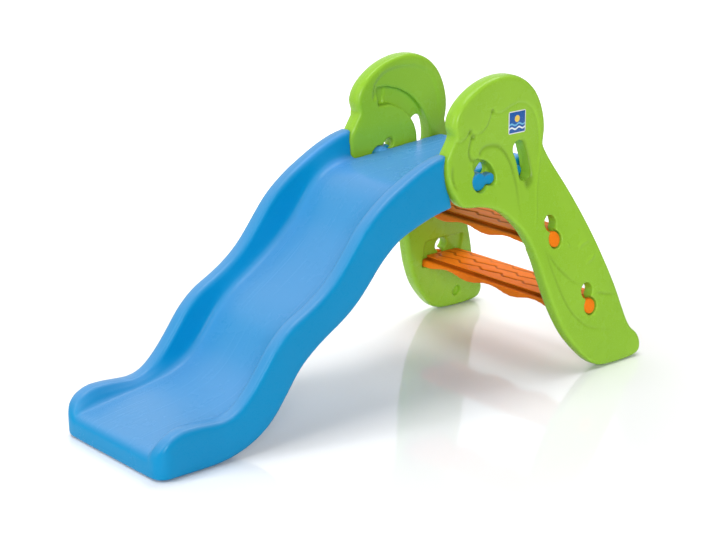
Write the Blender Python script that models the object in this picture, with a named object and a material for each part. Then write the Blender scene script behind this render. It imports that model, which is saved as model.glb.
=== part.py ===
"""Folding slide for toddlers: a wavy chute with its platform, two side panels that are handrail
and leg in one, and two steps. The chute turns between the panels on two lugs, and two more lugs
run in curved tracks, so the ladder folds in under the chute.

Metres, +Z up. The chute's foot points to -X and the ladder to +X; the floor is at z = 0. Left and
right are those of a child who climbs the ladder's steps, so the left panel is at -Y. Lengths along
X are counted from the chute's toe, and at the end everything moves back by half the length."""

import math

import bmesh
import bpy
from mathutils import Matrix, Vector

# Chute: widths and roundings
CHUTE_HALF_WIDTH = 0.211
WALL = 0.045
WALL_DRAFT = 0.006
RIM_ROUND = 0.014
LOWER_ROUND = 0.010
FLOOR_FILLET = 0.026
UNDER_RECESS = 0.010
UNDER_RECESS_HALF = 0.146
UNDER_RECESS_SLOPE = 0.012
UNDER_RECESS_STARTS = 0.200
UNDER_RECESS_FULL = 0.290

# Chute: the foot
FOOT_CORNER = 0.036
FOOT_EDGE = 0.006
LIP_HEIGHT = 0.036
LIP_DEPTH = 0.024
FLOOR_AT_LIP = 0.064
RIM_SPRING = 0.038
RIM_NOSE = 0.085
RIM_AT_NOSE = 0.118

# Chute: side profiles as (x, z), each a smooth curve
RIM = (
    (RIM_NOSE, RIM_AT_NOSE),
    (0.132, 0.116),
    (0.188, 0.110),
    (0.224, 0.118),
    (0.264, 0.149),
    (0.308, 0.199),
    (0.350, 0.256),
    (0.400, 0.301),
    (0.450, 0.327),
    (0.500, 0.357),
    (0.548, 0.397),
    (0.592, 0.450),
    (0.640, 0.509),
    (0.700, 0.557),
    (0.765, 0.595),
    (0.830, 0.626),
    (0.890, 0.644),
    (0.990, 0.652),
)
FLOOR = (
    (LIP_DEPTH, FLOOR_AT_LIP),
    (0.080, 0.073),
    (0.150, 0.082),
    (0.220, 0.091),
    (0.285, 0.106),
    (0.330, 0.126),
    (0.370, 0.156),
    (0.410, 0.203),
    (0.445, 0.247),
    (0.490, 0.286),
    (0.545, 0.321),
    (0.600, 0.358),
    (0.655, 0.402),
    (0.705, 0.449),
    (0.745, 0.500),
    (0.780, 0.537),
    (0.825, 0.560),
    (0.880, 0.567),
    (0.960, 0.571),
    (1.245, 0.590),
)
UNDERSIDE = (
    (0.165, 0.000),
    (0.215, 0.007),
    (0.260, 0.020),
    (0.305, 0.042),
    (0.345, 0.074),
    (0.383, 0.122),
    (0.420, 0.174),
    (0.460, 0.211),
    (0.510, 0.245),
    (0.563, 0.276),
    (0.603, 0.305),
    (0.642, 0.343),
    (0.680, 0.388),
    (0.715, 0.421),
    (0.755, 0.450),
    (0.803, 0.469),
    (0.857, 0.487),
    (0.913, 0.499),
    (0.970, 0.507),
    (1.245, 0.526),
)
STATION_STEP = 0.024
STATION_MARGIN = 0.0004

# Platform between the panels
PLATFORM_END = 1.245
PLATFORM_END_ROUND = 0.018
PLATFORM_SIDE_GAP = 0.0015
FILLET_FADES = 0.860
FILLET_GONE = 0.930

# Side panels
PANEL_THICKNESS = 0.045
PANEL_EDGE_ROUND = 0.012
PANEL_EDGE_STEPS = 3
DOME_FRONT_NOTCH = (0.941, 0.687)
DOME_REAR_NOTCH = (1.257, 0.621)
HEEL_START = (1.500, 0.000)
TOE_START = (1.385, 0.000)
DOME = (
    DOME_FRONT_NOTCH,
    (0.931, 0.714),
    (0.940, 0.747),
    (0.968, 0.779),
    (1.012, 0.807),
    (1.060, 0.823),
    (1.106, 0.828),
    (1.152, 0.822),
    (1.196, 0.801),
    (1.231, 0.766),
    (1.254, 0.718),
    (1.263, 0.668),
    DOME_REAR_NOTCH,
)
LEG_REAR = (
    DOME_REAR_NOTCH,
    (1.284, 0.576),
    (1.337, 0.487),
    (1.385, 0.392),
    (1.424, 0.300),
    (1.462, 0.206),
    (1.491, 0.116),
    (1.507, 0.084),
    (1.530, 0.062),
    (1.539, 0.036),
    (1.530, 0.011),
    HEEL_START,
)
LEG_FRONT = (
    TOE_START,
    (1.340, 0.018),
    (1.289, 0.066),
    (1.251, 0.116),
    (1.216, 0.190),
    (1.191, 0.270),
    (1.173, 0.340),
    (1.148, 0.402),
    (1.098, 0.457),
    (1.055, 0.483),
    (1.005, 0.4965),
    (0.970, 0.500),
    (0.944, 0.508),
    (0.928, 0.533),
    (0.914, 0.565),
    (0.907, 0.600),
    (0.909, 0.634),
    (0.925, 0.662),
    DOME_FRONT_NOTCH,
)
OUTLINE_STEPS = 3
DISC_STARTS = 10

# Flare of the legs: the panel is upright down to the bend, then leans outwards in two flats
BEND_HEIGHT = 0.600
KNEE_HEIGHT = 0.300
BEND_HALF = 0.030
UPPER_FLARE = 0.273
LOWER_FLARE = 0.180

# Hinge: the pivot lug with its hook, and the rear lug that runs in the track
PIVOT = (1.016, 0.560)
PIVOT_RADIUS = 0.0246
PIVOT_CLEARANCE = 0.0004
HOOK_RADIUS = 0.0165
HOOK_REACH = 0.0405
HOOK_ANGLE = 4.0
HOOK_INNER = 0.1902
HOOK_OUTER = 0.2175
HOOK_CLEARANCE = 0.0015
HOOK_POCKET_FLOOR = 0.1896
ENTRY_ANGLE = 38.0
FOLD_ANGLE = 88
LUG_ROOT = 0.1600
TRACK_RADIUS = 0.1628
REAR_LUG_RADIAL = 0.042
REAR_LUG_HEIGHT = 0.034
REAR_LUG_ROUND = 0.0155
REAR_LUG_DROP = 0.003
REAR_LUG_TIP = 0.1900
TRACK_CLEARANCE = 0.0015
STOP_CLEARANCE = 0.0004
TRACK_FLOOR = 0.1925
SLOT_TOP_ANGLE = 23.0
SLOT_CORNER = 0.0135
TRACK_START = 6.0
TRACK_WIDENS = 0.0006
CATCH_HALF_ANGLE = 7.5
CATCH_INNER = 0.137
CATCH_FLOOR = 0.1965

# Joint between the chute's walls and the panels
WALL_END_GAP = 0.003
WALL_END_TURN = 0.007
WALL_END_INSET = 0.007
WALL_HEEL_CUT = 0.009
WALL_HEEL_TOP = 0.530
WALL_HEEL_LOW = 0.502

# Steps
STEP_DEPTH = 0.148
STEP_THICKNESS = 0.023
STEP_WAVE = 0.013
STEP_WAVE_LENGTH = 0.172
STEP_SETBACK = 0.013
STEP_NOSE = 0.003
STEP_GROOVE_TOP = 0.005
STEP_GROOVE_LOW = 0.010
STEP_GROOVE_DEPTH = 0.004
STEP_SHOULDER = 0.014
STEP_END_ROUND = 0.007
STEP_STATION = 0.0145
UPPER_STEP = (1.168, 0.395)
LOWER_STEP = (1.270, 0.196)
STEP_POCKET_DEPTH = 0.012
STEP_POCKET_SIDE = 0.0010
STEP_POCKET_BELOW = 0.0010
STEP_POCKET_ABOVE = 0.047
STEP_END_CLEARANCE = 0.0008

# Knob at each end of a step, hooked in a keyhole of the panel
KNOB_BACK = 0.0825
KNOB_DOWN = 0.0225
KNOB_RADIUS = 0.0215
KNOB_DEPTH = 0.014
KNOB_SUNK = 0.003
NECK_RADIUS = 0.0110
NECK_CLEARANCE = 0.0004
KEYHOLE_SEAT_RADIUS = 0.0245
KEYHOLE_SEAT_CLEARANCE = 0.0008
KEYHOLE_ENTRY_RADIUS = 0.0222
KEYHOLE_RISE = (-0.008, 0.044)

# Hollow at each foot and the plain label on the left panel
DIMPLE = (1.428, 0.052)
DIMPLE_RADIUS = 0.016
DIMPLE_DEPTH = 0.014
LABEL_CENTRE = (1.155, 0.698)
LABEL_SIZE = (0.063, 0.061)
LABEL_ROUND = 0.005
LABEL_THICKNESS = 0.0006
LABEL_GAP = 0.0003

# Half the overall length, from the toe to the middle of the footprint
MIDDLE = 0.7697

# Values that follow from the ones above
PANEL_INNER = CHUTE_HALF_WIDTH - PANEL_THICKNESS
PLATFORM_HALF = PANEL_INNER - PLATFORM_SIDE_GAP
REAR_LUG = (PIVOT[0] + TRACK_RADIUS, PIVOT[1] - REAR_LUG_DROP)
BEYOND = 0.05

COLOURS = {
    "green": ((0.296, 0.578, 0.045), 0.42),
    "blue": ((0.010, 0.290, 0.640), 0.38),
    "orange": ((0.960, 0.235, 0.020), 0.45),
    "label": ((0.030, 0.200, 0.560), 0.35),
}


def clear_scene():
    """Remove every object of the scene."""
    for obj in list(bpy.data.objects):
        bpy.data.objects.remove(obj, do_unlink=True)


def plastic(name, kind):
    """A moulded plastic of one colour."""
    colour, roughness = COLOURS[kind]
    material = bpy.data.materials.new(name)
    material.use_nodes = True
    shader = material.node_tree.nodes["Principled BSDF"]
    shader.inputs["Base Color"].default_value = (*colour, 1.0)
    shader.inputs["Roughness"].default_value = roughness
    shader.inputs["Metallic"].default_value = 0.0
    return material


def smooth_step(low, high, value):
    """0 below low, 1 above high, and a smooth rise between."""
    t = min(1.0, max(0.0, (value - low) / (high - low)))
    return t * t * (3.0 - 2.0 * t)


def height_on(profile, x):
    """Height at x of the smooth curve through a profile's points."""
    if x <= profile[0][0]:
        return profile[0][1]
    if x >= profile[-1][0]:
        return profile[-1][1]
    i = next(k for k in range(len(profile) - 1) if x <= profile[k + 1][0])
    (x0, z0), (x1, z1) = profile[i], profile[i + 1]
    before = profile[max(i - 1, 0)]
    after = profile[min(i + 2, len(profile) - 1)]
    slope0 = (z1 - before[1]) / (x1 - before[0])
    slope1 = (after[1] - z0) / (after[0] - x0)
    span = x1 - x0
    t = (x - x0) / span
    return (
        (2 * t**3 - 3 * t**2 + 1) * z0
        + (t**3 - 2 * t**2 + t) * span * slope0
        + (-2 * t**3 + 3 * t**2) * z1
        + (t**3 - t**2) * span * slope1
    )


def curve_through(points, steps):
    """Points along a smooth open curve through the given ones, without its last point."""
    out = []
    for i in range(len(points) - 1):
        p0 = Vector(points[max(i - 1, 0)])
        p1 = Vector(points[i])
        p2 = Vector(points[i + 1])
        p3 = Vector(points[min(i + 2, len(points) - 1)])
        span = (p2 - p1).length
        into = (p2 - p0) * span / max((p1 - p0).length + span, 1e-9)
        away = (p3 - p1) * span / max((p3 - p2).length + span, 1e-9)
        for k in range(steps):
            t = k / steps
            point = (
                (2 * t**3 - 3 * t**2 + 1) * p1
                + (t**3 - 2 * t**2 + t) * into
                + (-2 * t**3 + 3 * t**2) * p2
                + (t**3 - t**2) * away
            )
            out.append((point.x, point.y))
    return out


def circle(centre, radius, count):
    """Points of a circle, anticlockwise."""
    return [
        (
            centre[0] + radius * math.cos(2 * math.pi * k / count),
            centre[1] + radius * math.sin(2 * math.pi * k / count),
        )
        for k in range(count)
    ]


def arc(centre, radius, start, end, count):
    """Points of an arc from one angle to another, in degrees."""
    return [
        (
            centre[0] + radius * math.cos(math.radians(start + (end - start) * k / (count - 1))),
            centre[1] + radius * math.sin(math.radians(start + (end - start) * k / (count - 1))),
        )
        for k in range(count)
    ]


def rounded_box(centre, size, radius, count):
    """Points of a rectangle with round corners, anticlockwise."""
    half_x = size[0] / 2 - radius
    half_z = size[1] / 2 - radius
    points = []
    corners = ((1, 1, 0), (-1, 1, 90), (-1, -1, 180), (1, -1, 270))
    for side_x, side_z, start in corners:
        corner = (centre[0] + side_x * half_x, centre[1] + side_z * half_z)
        points += arc(corner, radius, start, start + 90, count)
    return points


def offset(points, distance):
    """The closed outline moved outwards, or inwards for a negative distance."""
    count = len(points)
    area = sum(
        points[k][0] * points[(k + 1) % count][1] - points[(k + 1) % count][0] * points[k][1]
        for k in range(count)
    )
    turn = 1.0 if area > 0 else -1.0
    out = []
    for k in range(count):
        before = Vector(points[k - 1])
        here = Vector(points[k])
        after = Vector(points[(k + 1) % count])
        a = (here - before).normalized()
        b = (after - here).normalized()
        normal = Vector((a.y + b.y, -a.x - b.x)) * turn
        normal.normalize()
        lean = max(0.5, normal.dot(Vector((a.y, -a.x)) * turn))
        out.append(tuple(here + normal * distance / lean))
    return out


def mesh_object(name, verts, faces, material=None):
    """An object from points and faces, with its faces turned outwards."""
    mesh = bpy.data.meshes.new(name)
    mesh.from_pydata(verts, [], faces)
    obj = bpy.data.objects.new(name, mesh)
    bpy.context.collection.objects.link(obj)
    edit = bmesh.new()
    edit.from_mesh(mesh)
    bmesh.ops.remove_doubles(edit, verts=edit.verts, dist=1e-6)
    bmesh.ops.recalc_face_normals(edit, faces=edit.faces)
    edit.to_mesh(mesh)
    edit.free()
    if material:
        mesh.materials.append(material)
    return obj


def loft(name, rings, material=None):
    """A closed solid through rings of equal count, closed by a flat face at each end."""
    count = len(rings[0])
    verts = [point for ring in rings for point in ring]
    faces = [tuple(range(count))]
    for r in range(len(rings) - 1):
        low = r * count
        high = low + count
        for k in range(count):
            after = (k + 1) % count
            faces.append((low + k, low + after, high + after, high + k))
    faces.append(tuple(range((len(rings) - 1) * count, len(rings) * count)))
    return mesh_object(name, verts, faces, material)


def prism(name, outline, y_low, y_high):
    """The outline in X and Z, drawn out along Y."""
    return loft(name, [[(x, y, z) for x, z in outline] for y in (y_low, y_high)])


def carve(obj, tool, operation="DIFFERENCE"):
    """Cut or join one solid with another, keep the result and remove the tool."""
    tool.hide_render = True
    tool.display_type = "WIRE"
    modifier = obj.modifiers.new(operation.lower(), "BOOLEAN")
    modifier.operation = operation
    modifier.solver = "EXACT"
    modifier.object = tool
    depsgraph = bpy.context.evaluated_depsgraph_get()
    result = bpy.data.meshes.new_from_object(obj.evaluated_get(depsgraph))
    obj.modifiers.clear()
    old = obj.data
    result.name = old.name
    obj.data = result
    bpy.data.meshes.remove(old)
    bpy.data.objects.remove(tool, do_unlink=True)


def finish(obj, material):
    """Tidy the mesh, shade it smooth over its round stretches and give it its material."""
    edit = bmesh.new()
    edit.from_mesh(obj.data)
    bmesh.ops.remove_doubles(edit, verts=edit.verts, dist=2e-5)
    bmesh.ops.dissolve_degenerate(edit, edges=edit.edges, dist=2e-5)
    bmesh.ops.triangulate(edit, faces=[f for f in edit.faces if len(f.verts) > 4])
    bmesh.ops.recalc_face_normals(edit, faces=edit.faces)
    edit.to_mesh(obj.data)
    edit.free()
    obj.data.materials.clear()
    obj.data.materials.append(material)
    obj.data.shade_smooth()
    obj.data.set_sharp_from_angle(angle=math.radians(40))


def flare(z):
    """How far the panel has moved outwards at height z."""
    top = BEND_HEIGHT + BEND_HALF
    knee = KNEE_HEIGHT + BEND_HALF
    out = 0.0
    runs = (
        (top, BEND_HEIGHT - BEND_HALF, UPPER_FLARE / 2),
        (BEND_HEIGHT - BEND_HALF, knee, UPPER_FLARE),
        (knee, KNEE_HEIGHT - BEND_HALF, (UPPER_FLARE + LOWER_FLARE) / 2),
        (KNEE_HEIGHT - BEND_HALF, -1.0, LOWER_FLARE),
    )
    for high, low, slope in runs:
        out += slope * max(0.0, high - max(z, low))
    return out


def lean_outwards(obj):
    """Bend a flat piece along the flare's creases, so that it leans as the legs do."""
    edit = bmesh.new()
    edit.from_mesh(obj.data)
    for height in (BEND_HEIGHT, KNEE_HEIGHT):
        for level in (height + BEND_HALF, height - BEND_HALF):
            bmesh.ops.bisect_plane(
                edit,
                geom=edit.verts[:] + edit.edges[:] + edit.faces[:],
                dist=1e-6,
                plane_co=(0.0, 0.0, level),
                plane_no=(0.0, 0.0, 1.0),
            )
    bmesh.ops.triangulate(edit, faces=[f for f in edit.faces if len(f.verts) > 4])
    for vert in edit.verts:
        vert.co.y += math.copysign(flare(vert.co.z), vert.co.y)
    edit.to_mesh(obj.data)
    edit.free()


def mirrored(obj, name, material):
    """The same piece on the other side of the slide."""
    mesh = obj.data.copy()
    mesh.name = name
    mesh.transform(Matrix.Scale(-1.0, 4, (0.0, 1.0, 0.0)))
    mesh.flip_normals()
    mesh.materials.clear()
    mesh.materials.append(material)
    twin = bpy.data.objects.new(name, mesh)
    bpy.context.collection.objects.link(twin)
    return twin


def panel_outline():
    """The panel's outline: dome, rear of the leg, heel, sole, front of the leg, disc."""
    points = curve_through(DOME, OUTLINE_STEPS)
    points += curve_through(LEG_REAR, OUTLINE_STEPS)
    points.append(HEEL_START)
    points += curve_through(LEG_FRONT, OUTLINE_STEPS)
    return points


def around_pivot(base, reach, hook, first, last):
    """Outline of the pivot lug, or of the space that its hook sweeps from first to last."""
    side = math.degrees(math.asin(hook / reach))
    points = []
    for k in range(72):
        angle = 5.0 * k
        ahead = (angle - last + 180.0) % 360.0 - 180.0
        behind = (first - angle + 180.0) % 360.0 - 180.0
        beyond = max(ahead, behind, 0.0)
        if first <= angle <= last:
            beyond = 0.0
        radius = base
        if beyond < side:
            lean = math.radians(beyond)
            across = hook**2 - (reach * math.sin(lean)) ** 2
            radius = max(base, reach * math.cos(lean) + math.sqrt(across))
        points.append(
            (
                PIVOT[0] + radius * math.cos(math.radians(angle)),
                PIVOT[1] + radius * math.sin(math.radians(angle)),
            )
        )
    return points


def track_outline(inner, outer, start, end, count):
    """A curved slot about the pivot from one angle to another."""
    return arc(PIVOT, outer, start, end, count) + arc(PIVOT, inner, end, start, count)


def slot_outline(inner, outer, floor_z):
    """The through slot: a round top end, and a level floor with round corners."""
    middle = (inner + outer) / 2
    half = (outer - inner) / 2
    top = math.radians(SLOT_TOP_ANGLE)
    cap = (PIVOT[0] + middle * math.cos(top), PIVOT[1] + middle * math.sin(top))
    points = arc(cap, half, SLOT_TOP_ANGLE, SLOT_TOP_ANGLE + 180.0, 15)
    points += arc(PIVOT, inner, SLOT_TOP_ANGLE - 4.0, 2.0, 6)
    corner_z = floor_z + SLOT_CORNER
    points += arc((PIVOT[0] + inner + SLOT_CORNER, corner_z), SLOT_CORNER, 180.0, 270.0, 6)
    points += arc((PIVOT[0] + outer - SLOT_CORNER, corner_z), SLOT_CORNER, 270.0, 360.0, 6)
    points += arc(PIVOT, outer, 2.0, SLOT_TOP_ANGLE - 4.0, 6)
    return points


def cut_keyhole(panel, step):
    """Keyhole for a step's knob: entry, neck slot, and a seat sunk into the outer face."""
    seat = (step[0] + KNOB_BACK, step[1] - KNOB_DOWN)
    entry = (seat[0] + KEYHOLE_RISE[0], seat[1] + KEYHOLE_RISE[1])
    seat_floor = CHUTE_HALF_WIDTH - KNOB_SUNK - KNOB_DEPTH - KEYHOLE_SEAT_CLEARANCE
    y_in = PANEL_INNER - BEYOND
    y_out = CHUTE_HALF_WIDTH + BEYOND
    way = Vector(entry) - Vector(seat)
    along = math.degrees(math.atan2(way.y, way.x))
    neck = NECK_RADIUS + NECK_CLEARANCE
    carve(panel, prism("entry", circle(entry, KEYHOLE_ENTRY_RADIUS, 28), y_in, y_out))
    slot = arc(seat, neck, along + 90, along + 270, 11) + arc(entry, neck, along - 90, along + 90, 5)
    carve(panel, prism("slot", slot, y_in, y_out))
    carve(panel, prism("seat", circle(seat, KEYHOLE_SEAT_RADIUS, 28), seat_floor, y_out))


def cut_step_pocket(panel, step):
    """Pocket in the inner face that takes the end of a step and the drop onto its seat."""
    low = step[1] - STEP_THICKNESS - STEP_WAVE - STEP_POCKET_BELOW
    high = step[1] + STEP_POCKET_ABOVE
    width = STEP_DEPTH + 2 * STEP_POCKET_SIDE
    centre = (step[0] + STEP_DEPTH / 2, (low + high) / 2)
    outline = rounded_box(centre, (width, high - low), 0.005, 4)
    carve(panel, prism("pocket", outline, PANEL_INNER - BEYOND, PANEL_INNER + STEP_POCKET_DEPTH))


def side_panel(name, material):
    """The right panel: a thick moulded board with its keyholes, pockets, hinge hole and track."""
    outline = panel_outline()
    rings = []
    for y_face, inward in ((PANEL_INNER, 1.0), (CHUTE_HALF_WIDTH, -1.0)):
        face_rings = []
        for k in range(PANEL_EDGE_STEPS + 1):
            angle = math.radians(90.0 * k / PANEL_EDGE_STEPS)
            shrink = PANEL_EDGE_ROUND * (1.0 - math.sin(angle))
            depth = PANEL_EDGE_ROUND * (1.0 - math.cos(angle))
            ring = offset(outline, -shrink)
            face_rings.append([(x, y_face + inward * depth, max(z, 0.0)) for x, z in ring])
        rings += face_rings if inward > 0 else face_rings[::-1]
    panel = loft(name, rings)
    for step in (UPPER_STEP, LOWER_STEP):
        cut_step_pocket(panel, step)
        cut_keyhole(panel, step)
    dimple = circle(DIMPLE, DIMPLE_RADIUS, 20)
    carve(panel, prism("dimple", dimple, PANEL_INNER - BEYOND, PANEL_INNER + DIMPLE_DEPTH))
    lean_outwards(panel)
    cut_hinge(panel)
    cut_track(panel)
    finish(panel, material)
    return panel


def cut_hinge(panel):
    """Round hole for the pivot lug, its way in, and the pocket in which the hook turns."""
    y_in = PANEL_INNER - BEYOND
    y_out = CHUTE_HALF_WIDTH + BEYOND
    bore = PIVOT_RADIUS + PIVOT_CLEARANCE
    hook = HOOK_RADIUS + HOOK_CLEARANCE
    way_in = around_pivot(bore, HOOK_REACH, hook, ENTRY_ANGLE, ENTRY_ANGLE)
    carve(panel, prism("way_in", way_in, y_in, y_out))
    last = HOOK_ANGLE + FOLD_ANGLE
    sweep = around_pivot(bore + HOOK_CLEARANCE, HOOK_REACH, hook, HOOK_ANGLE, last)
    carve(panel, prism("sweep", sweep, HOOK_POCKET_FLOOR, y_out))


def cut_track(panel):
    """Slot in which the rear lug rests, the track above it, and the catch at the track's end."""
    inner = TRACK_RADIUS - REAR_LUG_RADIAL / 2 - TRACK_CLEARANCE
    outer = TRACK_RADIUS + REAR_LUG_RADIAL / 2 + 2 * TRACK_CLEARANCE
    stop = REAR_LUG[1] - REAR_LUG_HEIGHT / 2 - STOP_CLEARANCE
    y_in = PANEL_INNER - BEYOND
    y_out = CHUTE_HALF_WIDTH + BEYOND
    carve(panel, prism("slot", slot_outline(inner, outer, stop), y_in, y_out))
    catch = FOLD_ANGLE - math.degrees(REAR_LUG_DROP / TRACK_RADIUS)
    inner -= TRACK_WIDENS
    outer += TRACK_WIDENS
    track = track_outline(inner, outer, TRACK_START, catch + CATCH_HALF_ANGLE - 1.0, 18)
    carve(panel, prism("track", track, y_in, TRACK_FLOOR))
    low = catch - CATCH_HALF_ANGLE
    high = catch + CATCH_HALF_ANGLE
    pocket = track_outline(CATCH_INNER, outer + TRACK_CLEARANCE, low, high, 5)
    carve(panel, prism("catch", pocket, y_in, CATCH_FLOOR))


def rim_height(x):
    """Top of the chute's walls."""
    if x >= RIM_NOSE:
        return height_on(RIM, x)
    across = (RIM_NOSE - x) / RIM_NOSE
    rise = RIM_AT_NOSE - RIM_SPRING
    return RIM_SPRING + rise * math.sqrt(max(0.0, 1.0 - across**2))


def end_round(x):
    """How much the rounded rear end takes off the platform's top and underside."""
    into = x - (PLATFORM_END - PLATFORM_END_ROUND)
    if into <= 0.0:
        return 0.0
    return PLATFORM_END_ROUND - math.sqrt(max(0.0, PLATFORM_END_ROUND**2 - into**2))


def floor_height(x):
    """The sliding surface, and the platform behind it."""
    if x >= LIP_DEPTH:
        return height_on(FLOOR, x) - end_round(x)
    across = (LIP_DEPTH - x) / LIP_DEPTH
    return LIP_HEIGHT + (FLOOR_AT_LIP - LIP_HEIGHT) * math.sqrt(max(0.0, 1.0 - across**2))


def underside_height(x):
    """Lower edge of the walls."""
    if x >= FOOT_EDGE:
        return height_on(UNDERSIDE, x) + end_round(x)
    return FOOT_EDGE - math.sqrt(max(0.0, FOOT_EDGE**2 - (FOOT_EDGE - x) ** 2))


def chute_half_width(x):
    """Outer half width, drawn in at the foot's upright corners."""
    if x >= FOOT_CORNER:
        return CHUTE_HALF_WIDTH
    into = FOOT_CORNER - x
    return CHUTE_HALF_WIDTH - FOOT_CORNER + math.sqrt(max(0.0, FOOT_CORNER**2 - into**2))


def chute_section(x):
    """Ring of points across the chute at x, from the middle of the underside and back to it."""
    outer = chute_half_width(x)
    inner = CHUTE_HALF_WIDTH - WALL
    rim = rim_height(x)
    floor = floor_height(x)
    low = underside_height(x)
    wall_height = max(rim - floor, 0.002)
    rim_round = min(RIM_ROUND, 0.45 * wall_height, 0.45 * (outer - inner))
    low_round = min(LOWER_ROUND, 0.3 * (rim - low))
    fade = 1.0 - smooth_step(FILLET_FADES, FILLET_GONE, x)
    fillet = max(0.0010, min(FLOOR_FILLET, 0.5 * wall_height) * fade)
    draft = min(WALL_DRAFT, 0.3 * wall_height) * fade
    sunk = UNDER_RECESS * smooth_step(UNDER_RECESS_STARTS, UNDER_RECESS_FULL, x)
    half = [
        (UNDER_RECESS_HALF, low + sunk),
        (UNDER_RECESS_HALF + UNDER_RECESS_SLOPE, low),
    ]
    half += arc((outer - low_round, low + low_round), low_round, -90, 0, 3)
    half += arc((outer - rim_round, rim - rim_round), rim_round, 0, 90, 4)
    half += arc((inner + rim_round, rim - rim_round), rim_round, 90, 180, 4)
    half += arc((inner - draft - fillet, floor + fillet), fillet, 0, -90, 4)
    return [(x, y, z) for y, z in half] + [(x, -y, z) for y, z in reversed(half)]


def chute_stations():
    """Places of the rings along the chute, closer at the foot and at the platform's end."""
    foot = [STATION_MARGIN, 0.002, 0.006, 0.012, 0.018, LIP_DEPTH, 0.032, FOOT_CORNER, 0.052, 0.068]
    start = RIM_NOSE
    stop = PLATFORM_END - PLATFORM_END_ROUND
    count = round((stop - start) / STATION_STEP)
    middle = [start + (stop - start) * k / count for k in range(count + 1)]
    end = [
        stop + PLATFORM_END_ROUND * math.sin(math.radians(angle)) - STATION_MARGIN * (angle > 80)
        for angle in (30, 60, 90)
    ]
    return foot + middle + end


def wall_end_cutter(side):
    """Space behind a wall's end: it follows the panel's disc, and opens out at the outer face."""
    outline = panel_outline()
    height = [z for x, z in outline]
    first = len(outline) - OUTLINE_STEPS * (len(LEG_FRONT) - 1 - DISC_STARTS)
    profile = {}
    for gap in (WALL_END_GAP, WALL_END_GAP + WALL_END_TURN / 2.5, WALL_END_GAP + WALL_END_TURN):
        moved = offset(outline, gap)
        front = [
            (x - WALL_HEEL_CUT * smooth_step(-WALL_HEEL_TOP, -WALL_HEEL_LOW, -z), z)
            for x, z in moved[first:] + moved[:1]
        ]
        lift = max(height)
        back = PLATFORM_END + BEYOND
        profile[gap] = front + [(front[-1][0], lift), (back, lift), (back, front[0][1])]
    near, middle, far = profile.values()
    edge = CHUTE_HALF_WIDTH
    levels = (
        (near, PLATFORM_HALF),
        (near, edge - WALL_END_INSET),
        (middle, edge - WALL_END_INSET * 0.45),
        (far, edge + 0.0005),
        (far, edge + BEYOND),
    )
    return loft("wall_end", [[(x, side * y, z) for x, z in ring] for ring, y in levels])


def add_lugs(chute, side):
    """The pivot lug with its hook, and the rear lug."""
    shaft = circle(PIVOT, PIVOT_RADIUS, 48)
    carve(chute, prism("shaft", shaft, *sorted((side * LUG_ROOT, side * HOOK_OUTER))), "UNION")
    hook = around_pivot(PIVOT_RADIUS - 0.0004, HOOK_REACH, HOOK_RADIUS, HOOK_ANGLE, HOOK_ANGLE)
    carve(chute, prism("hook", hook, *sorted((side * HOOK_INNER, side * (HOOK_OUTER - 0.0005)))), "UNION")
    size = (REAR_LUG_RADIAL, REAR_LUG_HEIGHT)
    rear = rounded_box(REAR_LUG, size, REAR_LUG_ROUND, 4)
    carve(chute, prism("rear", rear, *sorted((side * LUG_ROOT, side * REAR_LUG_TIP))), "UNION")


def chute(name, material):
    """Chute and platform in one moulding."""
    body = loft(name, [chute_section(x) for x in chute_stations()])
    for side in (1.0, -1.0):
        carve(body, wall_end_cutter(side))
        add_lugs(body, side)
    finish(body, material)
    return body


def step_section(y, origin, end_inset=None):
    """Ring of points across a step at y; an end ring leans with the panel and is drawn in."""
    wave = 0.5 - 0.5 * math.cos(2 * math.pi * y / STEP_WAVE_LENGTH)
    low = -STEP_THICKNESS - STEP_WAVE * wave
    nose = STEP_SETBACK
    groove = nose + STEP_GROOVE_DEPTH
    front = [
        (nose + STEP_NOSE, 0.0),
        (nose, -STEP_NOSE * 0.7),
        (nose, -STEP_GROOVE_TOP),
        (groove, -STEP_GROOVE_TOP - 0.001),
        (groove, -STEP_GROOVE_LOW),
        (0.003, -STEP_GROOVE_LOW - 0.0015),
        (0.0, -STEP_SHOULDER),
        (0.0, low + 0.003),
        (0.003, low),
    ]
    ring = front + [(STEP_DEPTH - x * 0.5, z) for x, z in reversed(front)]
    middle_z = -STEP_THICKNESS / 2
    out = []
    for x, z in ring:
        place = y
        if end_inset is not None:
            x += end_inset * (1.0 - 2.0 * x / STEP_DEPTH)
            z += 0.4 * end_inset * (middle_z - z) / -middle_z
            reach = PANEL_INNER + STEP_POCKET_DEPTH - STEP_END_CLEARANCE + flare(origin[1] + z)
            place = math.copysign(reach - STEP_END_ROUND + end_inset, y)
        out.append((origin[0] + x, place, origin[1] + z))
    return out


def step(name, origin, material):
    """One step: a board with a groove under its nose and a wavy skirt, and a knob at each end."""
    reach = PANEL_INNER + flare(origin[1] + STEP_POCKET_ABOVE)
    count = 2 * round(reach / STEP_STATION)
    inner = [-reach + 2 * reach * k / count for k in range(count + 1)]
    insets = (STEP_END_ROUND, STEP_END_ROUND * 0.4, 0.0)
    rings = [step_section(-reach, origin, inset) for inset in insets]
    rings += [step_section(y, origin) for y in inner[1:-1]]
    rings += [step_section(reach, origin, inset) for inset in reversed(insets)]
    body = loft(name, rings)
    seat = (origin[0] + KNOB_BACK, origin[1] - KNOB_DOWN)
    knob_out = CHUTE_HALF_WIDTH - KNOB_SUNK
    for side in (1.0, -1.0):
        neck = prism("neck", circle(seat, NECK_RADIUS, 24), PANEL_INNER - 0.01, knob_out - 0.001)
        knob = knob_solid(seat, knob_out)
        for piece in (neck, knob):
            lean_piece(piece, side)
            carve(body, piece, "UNION")
    finish(body, material)
    return body


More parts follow.
